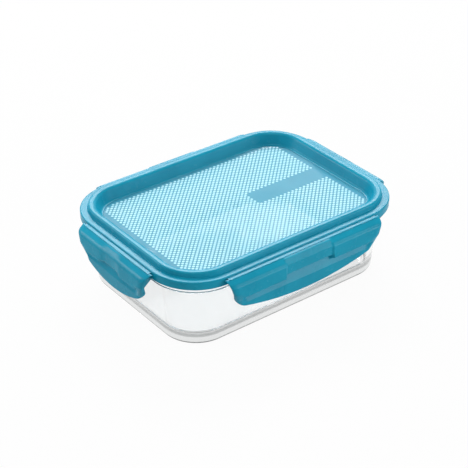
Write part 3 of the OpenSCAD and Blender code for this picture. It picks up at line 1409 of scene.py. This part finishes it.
@dataclass
class LidSeal:
    """The rubber ring in the channel of the frame, with two lips on the glass rim.

    Attributes:
        rim: outline of the dish rim.
        clear: gap that keeps the lips just off the glass.
        notch: depth of the notch between the lips.
        width: width of the ring across its section.
        lip_r: rounding of the lips.
        edge_r: rounding of the upper edges.
        notch_r: rounding at the bottom of the notch.
    """

    rim: RimOutline
    clear: float = 0.02 * MM
    notch: float = 1.2 * MM
    width: float = 2.26 * MM
    lip_r: float = 0.25 * MM
    edge_r: float = 0.3 * MM
    notch_r: float = 0.4 * MM

    def build(self) -> bpy.types.Object:
        """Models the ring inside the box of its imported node.

        Returns:
            The piece.
        """
        low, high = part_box("lid_seal")
        out_x = high.x - self.rim.half_l
        in_x = out_x - self.width
        lip = self.width / 4
        bottom = low.z + self.clear
        middle = (out_x + in_x) / 2
        section = [
            Knot(out_x, bottom, self.lip_r),
            Knot(out_x, high.z - self.clear, self.edge_r),
            Knot(in_x, high.z - self.clear, self.edge_r),
            Knot(in_x, bottom, self.lip_r),
            Knot(in_x + lip, bottom, self.lip_r),
            Knot(middle, bottom + self.notch, self.notch_r),
            Knot(out_x - lip, bottom, self.lip_r),
        ]
        bench = Bench("lid_seal_ring")
        bench.draw(section, self.rim.start, segments=3)
        bench.sweep(self.rim)
        return bench.finish()

    def dress(self, obj: bpy.types.Object, finishes: Finishes) -> None:
        """Puts the pale rubber on the piece and lets it ride."""
        dress(obj, finishes.seal, "lid_seal")
        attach(obj, "lid_body")


@dataclass
class Latch:
    """A latch: its moulded flap, the living hinge that carries it and the rib that snaps under the rim.

    Its lengths outwards are measured from the rim, and its drops from the hinge axis.

    Attributes:
        side: side of the container that it closes.
        rim: outline of the dish rim.
        length: length along the hinge axis.
        recess_w: width of the finger recess.
        skirt_x: outside of the lid's skirt.
        plate_t: thickness of the flap.
        root_x: upper edge of the face, at the hinge.
        crown_x: upper edge of the slope above the finger recess.
        crown_drop: top of the flap down to that edge.
        crown_r: rounding of that edge.
        brow_x: lower edge of that slope.
        brow_drop: axis down to the brow.
        brow_r: rounding of the brow.
        waist_x: waist at the foot of the recess.
        lip_drop: axis down to the waist, where the lip starts.
        lip_x: face of the lower band.
        lip_h: height of the sloping lip.
        edge_x: lower edge of the recess's face.
        edge_drop: axis down to that edge.
        pad_x: fullest part of the side pads.
        pad_edge_drop: axis down to the lower edge of the pads.
        pad_full_drop: axis down to the fullest part at their ends.
        pad_shoulder_in: set-back of the pads at their shoulder.
        pad_shoulder_drop: axis down to the shoulder.
        pad_foot_drop: axis down to the foot of the pads, on the lip.
        pad_r: rounding of the pads at their ends.
        edge_r: rounding of the lower edges and of the crease below them.
        shoulder_r: rounding of their shoulder.
        lip_r: rounding at the foot of the lip.
        sag: rise of the curved lower edge towards its ends.
        end_inset: inset of the lower corners.
        corner_r: rounding of the lower corners.
        ramp: width of the ramp between pad and recess.
        end_r: width of the rounding along the two ends.
        end_drop: how far that rounding falls back at the hinge.
        end_drop_low: how far it falls back at the lip.
        recess_share: depth of the recess as a share of the full one.
        wall_t: thickness of the end walls.
        wall_clear: gap between the end walls and the rim.
        wall_inset: inset of the end walls from the ends.
        wall_lap: how deep the end walls reach into the flap, as a share of its thickness.
        wall_notch_drop: axis down to the notch in the end walls that clears the skirt.
        skirt_clear: gap between that notch and the skirt.
        cheek_w: width of the cheek that closes the crease under a pad at its end.
        flap_bevel: width of the bevel along the sharp edges of the flap.
        flap_crease_deg: edges of the flap sharper than this get that bevel.
        row_gap: least distance between two cuts along the face.
        hinge_dip: how far the top of the living hinge dips in its middle.
        hinge_short: how far the living hinge stops short of the face.
        hinge_hold: inset at each end of the living hinge for two points along it, which are worked out but
            not used.
        rib_tip_x: tip of the snap rib, under the rim.
        rib_tip_h: height of the tip.
        rib_tip_r: rounding of the lower edge of the tip.
        rib_top_r: rounding of its upper edge.
        rib_root_in: how far the root of the rib lies behind the waist.
        rib_bevel: width of the bevel along the sharp edges of the rib.
        rib_crease_deg: edges of the rib sharper than this get that bevel.
        rib_taper: how far the ends of the snap rib slope in towards its tip.
        bow_steps: edges along the curved lower edge.
        corner_steps: edges in each rounded lower corner.
        RAMP_CUTS: cuts across a ramp, as shares of its width.
        END_CUTS: cuts along the rounding of an end, as shares of its width.
        CHEEK_CUTS: cuts along a cheek, as shares of its width.
        HINGE_DIPS: the top of the living hinge, in shares of its span and of its dip.
    """

    side: Side
    rim: RimOutline
    length: float
    recess_w: float
    skirt_x: float
    plate_t: float = 1.6 * MM
    root_x: float = 5.0 * MM
    crown_x: float = 6.8 * MM
    crown_drop: float = 0.4 * MM
    crown_r: float = 0.6 * MM
    brow_x: float = 9.4 * MM
    brow_drop: float = 3.2 * MM
    brow_r: float = 0.8 * MM
    waist_x: float = 5.6 * MM
    lip_drop: float = 12.2 * MM
    lip_x: float = 8.2 * MM
    lip_h: float = 7.1 * MM
    edge_x: float = 9.2 * MM
    edge_drop: float = 10.6 * MM
    pad_x: float = 10.89 * MM
    pad_edge_drop: float = 12.8 * MM
    pad_full_drop: float = 9.5 * MM
    pad_shoulder_in: float = 0.7 * MM
    pad_shoulder_drop: float = 2.2 * MM
    pad_foot_drop: float = 15 * MM
    pad_r: float = 2.5 * MM
    edge_r: float = 0.7 * MM
    shoulder_r: float = 5 * MM
    lip_r: float = 1.2 * MM
    sag: float = 8.5 * MM
    end_inset: float = 7 * MM
    corner_r: float = 11 * MM
    ramp: float = 2 * MM
    end_r: float = 5 * MM
    end_drop: float = 1.0 * MM
    end_drop_low: float = 2.8 * MM
    recess_share: float = 1.0
    wall_t: float = 1.4 * MM
    wall_clear: float = 0.5 * MM
    wall_inset: float = 2.2 * MM
    wall_lap: float = 0.75
    wall_notch_drop: float = 4.3 * MM
    skirt_clear: float = 0.4 * MM
    cheek_w: float = 6 * MM
    flap_bevel: float = 0.35 * MM
    flap_crease_deg: float = 40
    row_gap: float = 0.15 * MM
    hinge_dip: float = 0.12 * MM
    hinge_short: float = 0.1 * MM
    hinge_hold: float = 0.2 * MM
    rib_tip_x: float = -2.2 * MM
    rib_tip_h: float = 1.3 * MM
    rib_tip_r: float = 0.5 * MM
    rib_top_r: float = 0.4 * MM
    rib_root_in: float = 0.4 * MM
    rib_bevel: float = 0.5 * MM
    rib_crease_deg: float = 50
    rib_taper: float = 4 * MM
    bow_steps: int = 14
    corner_steps: int = 6

    RAMP_CUTS = (0.0, 0.25, 0.5, 0.75, 1.0)
    END_CUTS = (0.05, 0.15, 0.3, 0.5, 0.75)
    CHEEK_CUTS = (0.25, 0.5, 0.75, 1.0)
    HINGE_DIPS = ((0.0, 0.0), (0.2, 0.7), (0.4, 1.0), (0.6, 1.0), (0.8, 0.7), (1.0, 0.5))

    def __post_init__(self) -> None:
        """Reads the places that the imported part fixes."""
        low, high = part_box(self.node)
        joint = next(j for j in frame["joints"] if j["name"] == f"{self.node}_hinge")
        self.low_z = low.z
        self.top_z = high.z
        self.axis_z = joint["pos_m"][2]
        self.lean = self.end_inset / (self.axis_z - self.low_z - self.sag)

    @property
    def node(self) -> str:
        """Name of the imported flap."""
        return f"{self.side.title}_latch"

    @property
    def body(self) -> str:
        """Name of the body that the latch is part of."""
        return f"{self.node}_body"

    @property
    def packed_names(self) -> tuple[str, str, str]:
        """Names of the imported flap, hinge and rib."""
        return self.node, f"{self.side.title}_hinge_web", f"{self.side.title}_snap_rib"

    @property
    def piece_names(self) -> tuple[str, str, str]:
        """Names of the pieces that stand for them."""
        return f"{self.node}_flap", f"{self.side.title}_hinge_strip", f"{self.side.title}_snap_bar"

    @property
    def shoulder(self) -> Knot:
        """Upper corner of the side pads."""
        return self.corner(self.pad_x - self.pad_shoulder_in, self.pad_shoulder_drop, self.shoulder_r)

    def corner(self, x: float, drop: float, r: float) -> Knot:
        """Gives a corner of the face, at a drop below the hinge axis."""
        return Knot(x, self.axis_z - drop, r)

    def half_at(self, z: float) -> float:
        """Half the length of the flap at a height."""
        return self.length / 2 - (self.axis_z - z) * self.lean

    def face_line(self, *corners: Knot) -> list[Knot]:
        """Runs a line down the face from the hinge, over corners of its own, to the lower edge.

        Args:
            corners: the corners between the hinge and the foot of the lip.

        Returns:
            Points of the line, with its corners rounded.
        """
        lip_foot = Knot(self.lip_x, self.axis_z - self.lip_drop - self.lip_h, self.lip_r)
        return rounded([Knot(self.root_x, self.top_z), *corners, lip_foot, Knot(self.lip_x, self.low_z)])

    def recess_line(self) -> list[Knot]:
        """Lists the face of the finger recess, from the hinge down.

        Returns:
            Points of the face.
        """
        return self.face_line(
            Knot(self.crown_x, self.top_z - self.crown_drop, self.crown_r),
            self.corner(self.brow_x, self.brow_drop, self.brow_r),
            self.corner(self.edge_x, self.edge_drop, self.edge_r),
            self.corner(self.waist_x, self.lip_drop, self.edge_r),
        )

    def pad_line(self) -> list[Knot]:
        """Lists the face of the side pads, from the hinge down.

        Returns:
            Points of the face.
        """
        foot_out = (self.pad_foot_drop - self.lip_drop) * (self.lip_x - self.waist_x) / self.lip_h
        return self.face_line(
            self.shoulder,
            self.corner(self.pad_x, self.pad_edge_drop, self.edge_r),
            self.corner(self.waist_x + foot_out, self.pad_foot_drop, self.edge_r),
        )

    def cheek_line(self) -> list[Knot]:
        """Lists the face at the two ends, where the pad runs straight into the lip."""
        return self.face_line(self.shoulder, self.corner(self.pad_x, self.pad_full_drop, self.pad_r))

    def stand_out(self, p: Vector) -> float:
        """Works out how far the face stands out from the rim.

        Args:
            p: a point on the flat outline of the flap.

        Returns:
            Its distance from the rim.
        """
        past_ramp = (abs(p.y) - self.recess_w / 2) / self.ramp + 1
        share = 1 - self.recess_share * (1 - ease(past_ramp))
        out = (1 - share) * level_x(self.recess_line(), p.z) + share * level_x(self.pad_line(), p.z)
        to_end = self.half_at(p.z) - abs(p.y)
        cheek = ease(1 - (to_end - self.end_r / 2) / self.cheek_w)
        out += cheek * (level_x(self.cheek_line(), p.z) - out)
        near_end = min(max(1 - to_end / self.end_r, 0.0), 1.0)
        down = min((self.top_z - p.z) / (self.lip_drop + self.lip_h), 1.0)
        drop = self.end_drop + down * (self.end_drop_low - self.end_drop)
        return out - drop * (1 - math.sqrt(1 - near_end**2))

    def draw_outline(self, bench: Bench) -> None:
        """Draws the front view: leaning ends, curved lower edge and rounded lower corners.

        Args:
            bench: where the flap is modelled.
        """
        corner_z = self.low_z + self.sag
        chord = self.half_at(corner_z)
        bow_r = (chord**2 + self.sag**2) / (2 * self.sag)
        bow_slope = math.asin(chord / bow_r)
        bow_middle = (0, 0, self.low_z + bow_r)
        right = Vector((0, chord, corner_z))
        top = Vector((0, self.half_at(self.top_z), self.top_z))
        bench.move(tuple(top))
        bench.extrude(tuple(right - top))
        bpy.ops.mesh.spin(steps=self.bow_steps, angle=2 * bow_slope, center=bow_middle, axis=(1, 0, 0))
        bench.extrude((0, chord - top.y, top.z - corner_z))
        bench.pick(lambda p: abs(p.z - self.top_z) < Bench.SAME)
        bpy.ops.mesh.edge_face_add()
        bench.pick(lambda p: abs(p.z - corner_z) < Bench.SAME)
        half_angle = (math.pi / 2 + math.atan(self.lean) + bow_slope) / 2
        reach = self.corner_r / math.tan(half_angle)
        bpy.ops.mesh.bevel(offset=reach, segments=self.corner_steps, affect="VERTICES")
        bench.fill()

    def cut_rows(self, bench: Bench) -> None:
        """Cuts the flat outline at each change of slope of the face.

        Args:
            bench: where the flap is modelled.
        """
        rows: list[float] = []
        lines = (self.recess_line(), self.pad_line(), self.cheek_line())
        for z in sorted(k.z for line in lines for k in line[1:-1]):
            if not rows or z - rows[-1] > self.row_gap:
                rows.append(z)
        for z in rows:
            bench.cut((0, 0, z), (0, 0, 1))
        for way in (-1, 1):
            for share in self.RAMP_CUTS:
                bench.cut((0, way * (self.recess_w / 2 - share * self.ramp), 0), (0, 1, 0))
            rounding = [share * self.end_r for share in self.END_CUTS]
            cheek = [self.end_r / 2 + share * self.cheek_w for share in self.CHEEK_CUTS]
            for inset in rounding + cheek:
                inside = way * (self.half_at(self.axis_z) - inset)
                bench.cut((0, inside, self.axis_z), (0, 1, -way * self.lean))

    def build_end_wall(self, way: int) -> bpy.types.Object:
        """Models the wall that closes one end of the flap towards the skirt.

        Args:
            way: 1 for one end, -1 for the other.

        Returns:
            The wall.
        """
        line = self.cheek_line()
        low_z = self.axis_z - self.lip_drop - self.lip_h / 2
        high_z = self.axis_z - self.plate_t / 2
        levels = [high_z, *(k.z for k in line if low_z < k.z < high_z), low_z]
        face = [Knot(level_x(line, z) - self.wall_lap * self.plate_t, z) for z in levels]
        notch_x, notch_z = self.skirt_x + self.skirt_clear, self.axis_z - self.wall_notch_drop
        inner = [Knot(self.wall_clear, notch_z), Knot(notch_x, notch_z), Knot(notch_x, high_z)]
        bench = Bench(f"{self.node}_end_wall")
        bench.draw(face + inner, (0, 0, 0))
        bench.fill()
        bench.shift(lambda p: (0, way * (self.half_at(p.z) - self.wall_inset), 0))
        bench.pick_all()
        bench.extrude((0, -way * self.wall_t, 0))
        bench.clean()
        return bench.leave()

    def build_flap(self) -> bpy.types.Object:
        """Models the flap: cuts its outline along each change of slope, pulls the face out and thickens it.

        Returns:
            The piece.
        """
        walls = [self.build_end_wall(way) for way in (-1, 1)]
        bench = Bench(self.piece_names[0])
        self.draw_outline(bench)
        self.cut_rows(bench)
        bench.shift(lambda p: (self.stand_out(p), 0, 0))
        bench.pick_all()
        bench.extrude((-self.plate_t, 0, 0))
        bench.clean()
        bench.soften(self.flap_bevel, self.flap_crease_deg)
        for wall in walls:
            bench.join(wall)
        bench.place(self.side, self.rim)
        return bench.finish()

    def build_hinge(self) -> bpy.types.Object:
        """Models the living hinge, thin in the middle and thick at the skirt and the flap.

        Returns:
            The piece.
        """
        low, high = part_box(f"{self.side.title}_hinge_web")
        half = self.half_at(self.top_z) - self.end_r / 2
        span = self.root_x - self.hinge_short - self.skirt_x
        upper = [
            Knot(self.skirt_x + share * span, high.z - dip * self.hinge_dip) for share, dip in self.HINGE_DIPS
        ]
        lower = [Knot(k.x, low.z) for k in reversed(upper)]
        bench = Bench(self.piece_names[1])
        bench.draw(upper + lower, (0, -half, 0))
        bench.fill()
        bench.extrude((0, 2 * half, 0))
        bench.clean()
        bench.place(self.side, self.rim)
        return bench.finish()

    def build_rib(self) -> bpy.types.Object:
        """Models the rib that snaps under the glass rim.

        Returns:
            The piece.
        """
        low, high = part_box(f"{self.side.title}_snap_rib")
        half = (high - low).to_2d()[0 if self.side.long else 1] / 2
        root_x = self.waist_x - self.rib_root_in
        section = [
            Knot(root_x, low.z),
            Knot(root_x, high.z),
            Knot(self.rib_tip_x, high.z, self.rib_top_r),
            Knot(self.rib_tip_x, high.z - self.rib_tip_h, self.rib_tip_r),
        ]
        bench = Bench(self.piece_names[2])
        bench.draw(section, (0, -half, 0), segments=4)
        bench.fill()
        bench.extrude((0, 2 * half, 0))
        bench.clean()
        for way in (-1, 1):
            bench.pick(lambda p: p.x < self.rib_tip_x + MM and way * p.y > 0)
            bench.move((0, -way * self.rib_taper, 0))
        bench.soften(self.rib_bevel, self.rib_crease_deg)
        bench.place(self.side, self.rim)
        return bench.finish()

    def build(self) -> list[bpy.types.Object]:
        """Models the flap, the hinge and the rib, and gives them in that order."""
        return [self.build_flap(), self.build_hinge(), self.build_rib()]

    def copy_from(self, pieces: Sequence[bpy.types.Object]) -> list[bpy.types.Object]:
        """Copies the pieces of the latch on the other side, turned half round the container.

        Args:
            pieces: the other latch's flap, hinge and rib.

        Returns:
            The three copies, each with its own mesh.
        """
        copies = []
        for piece, name in zip(pieces, self.piece_names):
            bpy.ops.object.select_all(action="DESELECT")
            piece.select_set(True)
            bpy.context.view_layer.objects.active = piece
            bpy.ops.object.duplicate(linked=False)
            copy = bpy.context.object
            copy.name = copy.data.name = name
            copy.rotation_euler.z = math.pi
            bpy.ops.object.transform_apply(location=True, rotation=True, scale=True)
            copies.append(copy)
        return copies

    def dress(self, pieces: Sequence[bpy.types.Object], finishes: Finishes) -> None:
        """Puts the teal plastic on the three pieces and lets the flap and the rib ride with the latch's body;
        the hinge is baked in place and does not move.

        Args:
            pieces: the flap, the hinge and the rib.
            finishes: the materials.
        """
        flap, hinge, rib = pieces
        for piece, node in zip(pieces, self.packed_names):
            dress(piece, finishes.teal, node)
        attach(flap, self.body)
        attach(rib, self.body)
        start = self.side.put(self.skirt_x + self.hinge_hold, self.top_z, self.rim)
        end = self.side.put(self.root_x - self.hinge_hold, self.top_z, self.rim)
        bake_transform(hinge)


LONG_LATCH = {"length": 134 * MM, "recess_w": 43 * MM}
SHORT_LATCH = {"length": 82 * MM, "recess_w": 26 * MM, "ramp": 8 * MM, "recess_share": 0.7}


@dataclass(frozen=True)
class Lamp:
    """A soft rectangular lamp.

    Attributes:
        name: name of the lamp.
        place: where it hangs.
        size: its width and height.
        power: its power in watts.
    """

    name: str
    place: Point
    size: tuple[float, float]
    power: float

    def hang(self, target: Point) -> None:
        """Hangs the lamp and turns it to a point.

        Args:
            target: the point.
        """
        aim = Vector(self.place) - Vector(target)
        turn = aim.to_track_quat("Z", "Y").to_euler()
        bpy.ops.object.light_add(type="AREA", location=self.place, rotation=turn)
        lamp = bpy.context.object
        lamp.name = self.name
        lamp.data.shape = "RECTANGLE"
        lamp.data.size, lamp.data.size_y = self.size
        lamp.data.energy = self.power


LAMPS = (
    Lamp("back_lamp", (0.9, 1.17, 1.35), (1.1, 0.9), 38),
    Lamp("top_lamp", (-0.35, -0.25, 1.5), (0.9, 0.9), 5),
    Lamp("front_lamp", (0.83, -1.15, 0.78), (0.5, 0.45), 3.4),
    Lamp("right_lamp", (0.86, -1.35, 0.12), (0.9, 0.22), 8),
    Lamp("left_lamp", (-1.0, 1.07, 0.7), (0.6, 0.6), 9),
)


@dataclass
class Studio:
    """The camera, the pale floor and the soft light.

    Attributes:
        azimuth_deg: turn of the camera about the container.
        elevation_deg: height of the camera above the horizon.
        distance: camera to target.
        target: what the camera looks at.
        lens_mm: focal length.
        sensor_mm: width of the sensor.
        far: how far the camera sees.
        floor_size: length and width of the floor.
        floor_gap: gap that keeps the floor just under the dish.
        floor_colour: colour of the floor, as it throws light back.
        floor_roughness: roughness of the floor.
        floor_white: share of plain white in what the eye sees of the floor.
        room_light: strength of the even light in the room.
    """

    azimuth_deg: float = -37.677
    elevation_deg: float = 32.081
    distance: float = 986.5 * MM
    target: Point = (-1.2 * MM, 0.55 * MM, 28.66 * MM)
    lens_mm: float = 104.98
    sensor_mm: float = 36
    far: float = 20
    floor_size: float = 8
    floor_gap: float = 0.1 * MM
    floor_colour: Colour = (0.62, 0.62, 0.62)
    floor_roughness: float = 0.9
    floor_white: float = 0.96
    room_light: float = 0.32

    def build(self) -> None:
        """Sets up the camera, floor, lamps and world."""
        self.aim_camera()
        self.lay_floor()
        for lamp in LAMPS:
            lamp.hang(self.target)
        self.light_world()
        bpy.context.scene.view_settings.view_transform = "Standard"

    def aim_camera(self) -> None:
        """Places the camera at the photograph's viewing angle."""
        turn, rise = math.radians(self.azimuth_deg), math.radians(self.elevation_deg)
        back = Vector((math.sin(turn) * math.cos(rise), -math.cos(turn) * math.cos(rise), math.sin(rise)))
        place = Vector(self.target) + back * self.distance
        bpy.ops.object.camera_add(location=place, rotation=back.to_track_quat("Z", "Y").to_euler())
        camera = bpy.context.object
        camera.data.sensor_width = self.sensor_mm
        camera.data.lens = self.lens_mm
        camera.data.clip_end = self.far
        bpy.context.scene.camera = camera

    def lay_floor(self) -> None:
        """Lays a pale floor that looks white to the eye and keeps a soft shadow."""
        bpy.ops.object.select_all(action="DESELECT")
        bpy.ops.mesh.primitive_plane_add(size=self.floor_size, location=(0, 0, -self.floor_gap))
        floor = bpy.context.object
        floor.name = "studio_floor"
        shader = Shader("pale_floor")
        shader.set(Base_Color=self.floor_colour, Roughness=self.floor_roughness, Specular_IOR_Level=0.0)
        white = shader.add("ShaderNodeEmission")
        shader.mix_in(shader.math("MULTIPLY", shader.seen(), self.floor_white), white)
        floor.data.materials.append(shader.material)

    def light_world(self) -> None:
        """Fills the room with even light and shows it white."""
        world = bpy.data.worlds.new("studio_world")
        bpy.context.scene.world = world
        world.use_nodes = True
        nodes = Nodes(world.node_tree)
        background = world.node_tree.nodes["Background"]
        nodes.feed(background.inputs["Color"], (1.0, 1.0, 1.0))
        nodes.feed(background.inputs["Strength"], nodes.ramp(nodes.seen(), 0.0, 1.0, self.room_light, 1.0))


def main() -> None:
    """Builds the container piece by piece, dresses it and sets up the studio."""
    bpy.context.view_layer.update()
    finishes = Finishes.mix()
    rim = RimOutline.of_dish()
    Studio().build()
    dish = GlassDish(rim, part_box("glass_dish")[1].z)
    dish.dress(dish.build(), finishes)
    lid = LidFrame(rim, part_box("lid_frame")[1].z)
    lid.dress(lid.build(), finishes)
    window = LidWindow(lid)
    window.dress(window.build(), finishes)
    seal = LidSeal(rim)
    seal.dress(seal.build(), finishes)
    for side, across in ((Side.FRONT, Side.REAR), (Side.LEFT, Side.RIGHT)):
        shape = LONG_LATCH if side.long else SHORT_LATCH
        latch = Latch(side, rim, skirt_x=lid.skirt_x, **shape)
        pieces = latch.build()
        twin = Latch(across, rim, skirt_x=lid.skirt_x, **shape)
        twin.dress(twin.copy_from(pieces), finishes)
        latch.dress(pieces, finishes)


if __name__ == "__main__":
    logging.basicConfig(level=logging.INFO, format="%(name)s: %(message)s")
    main()
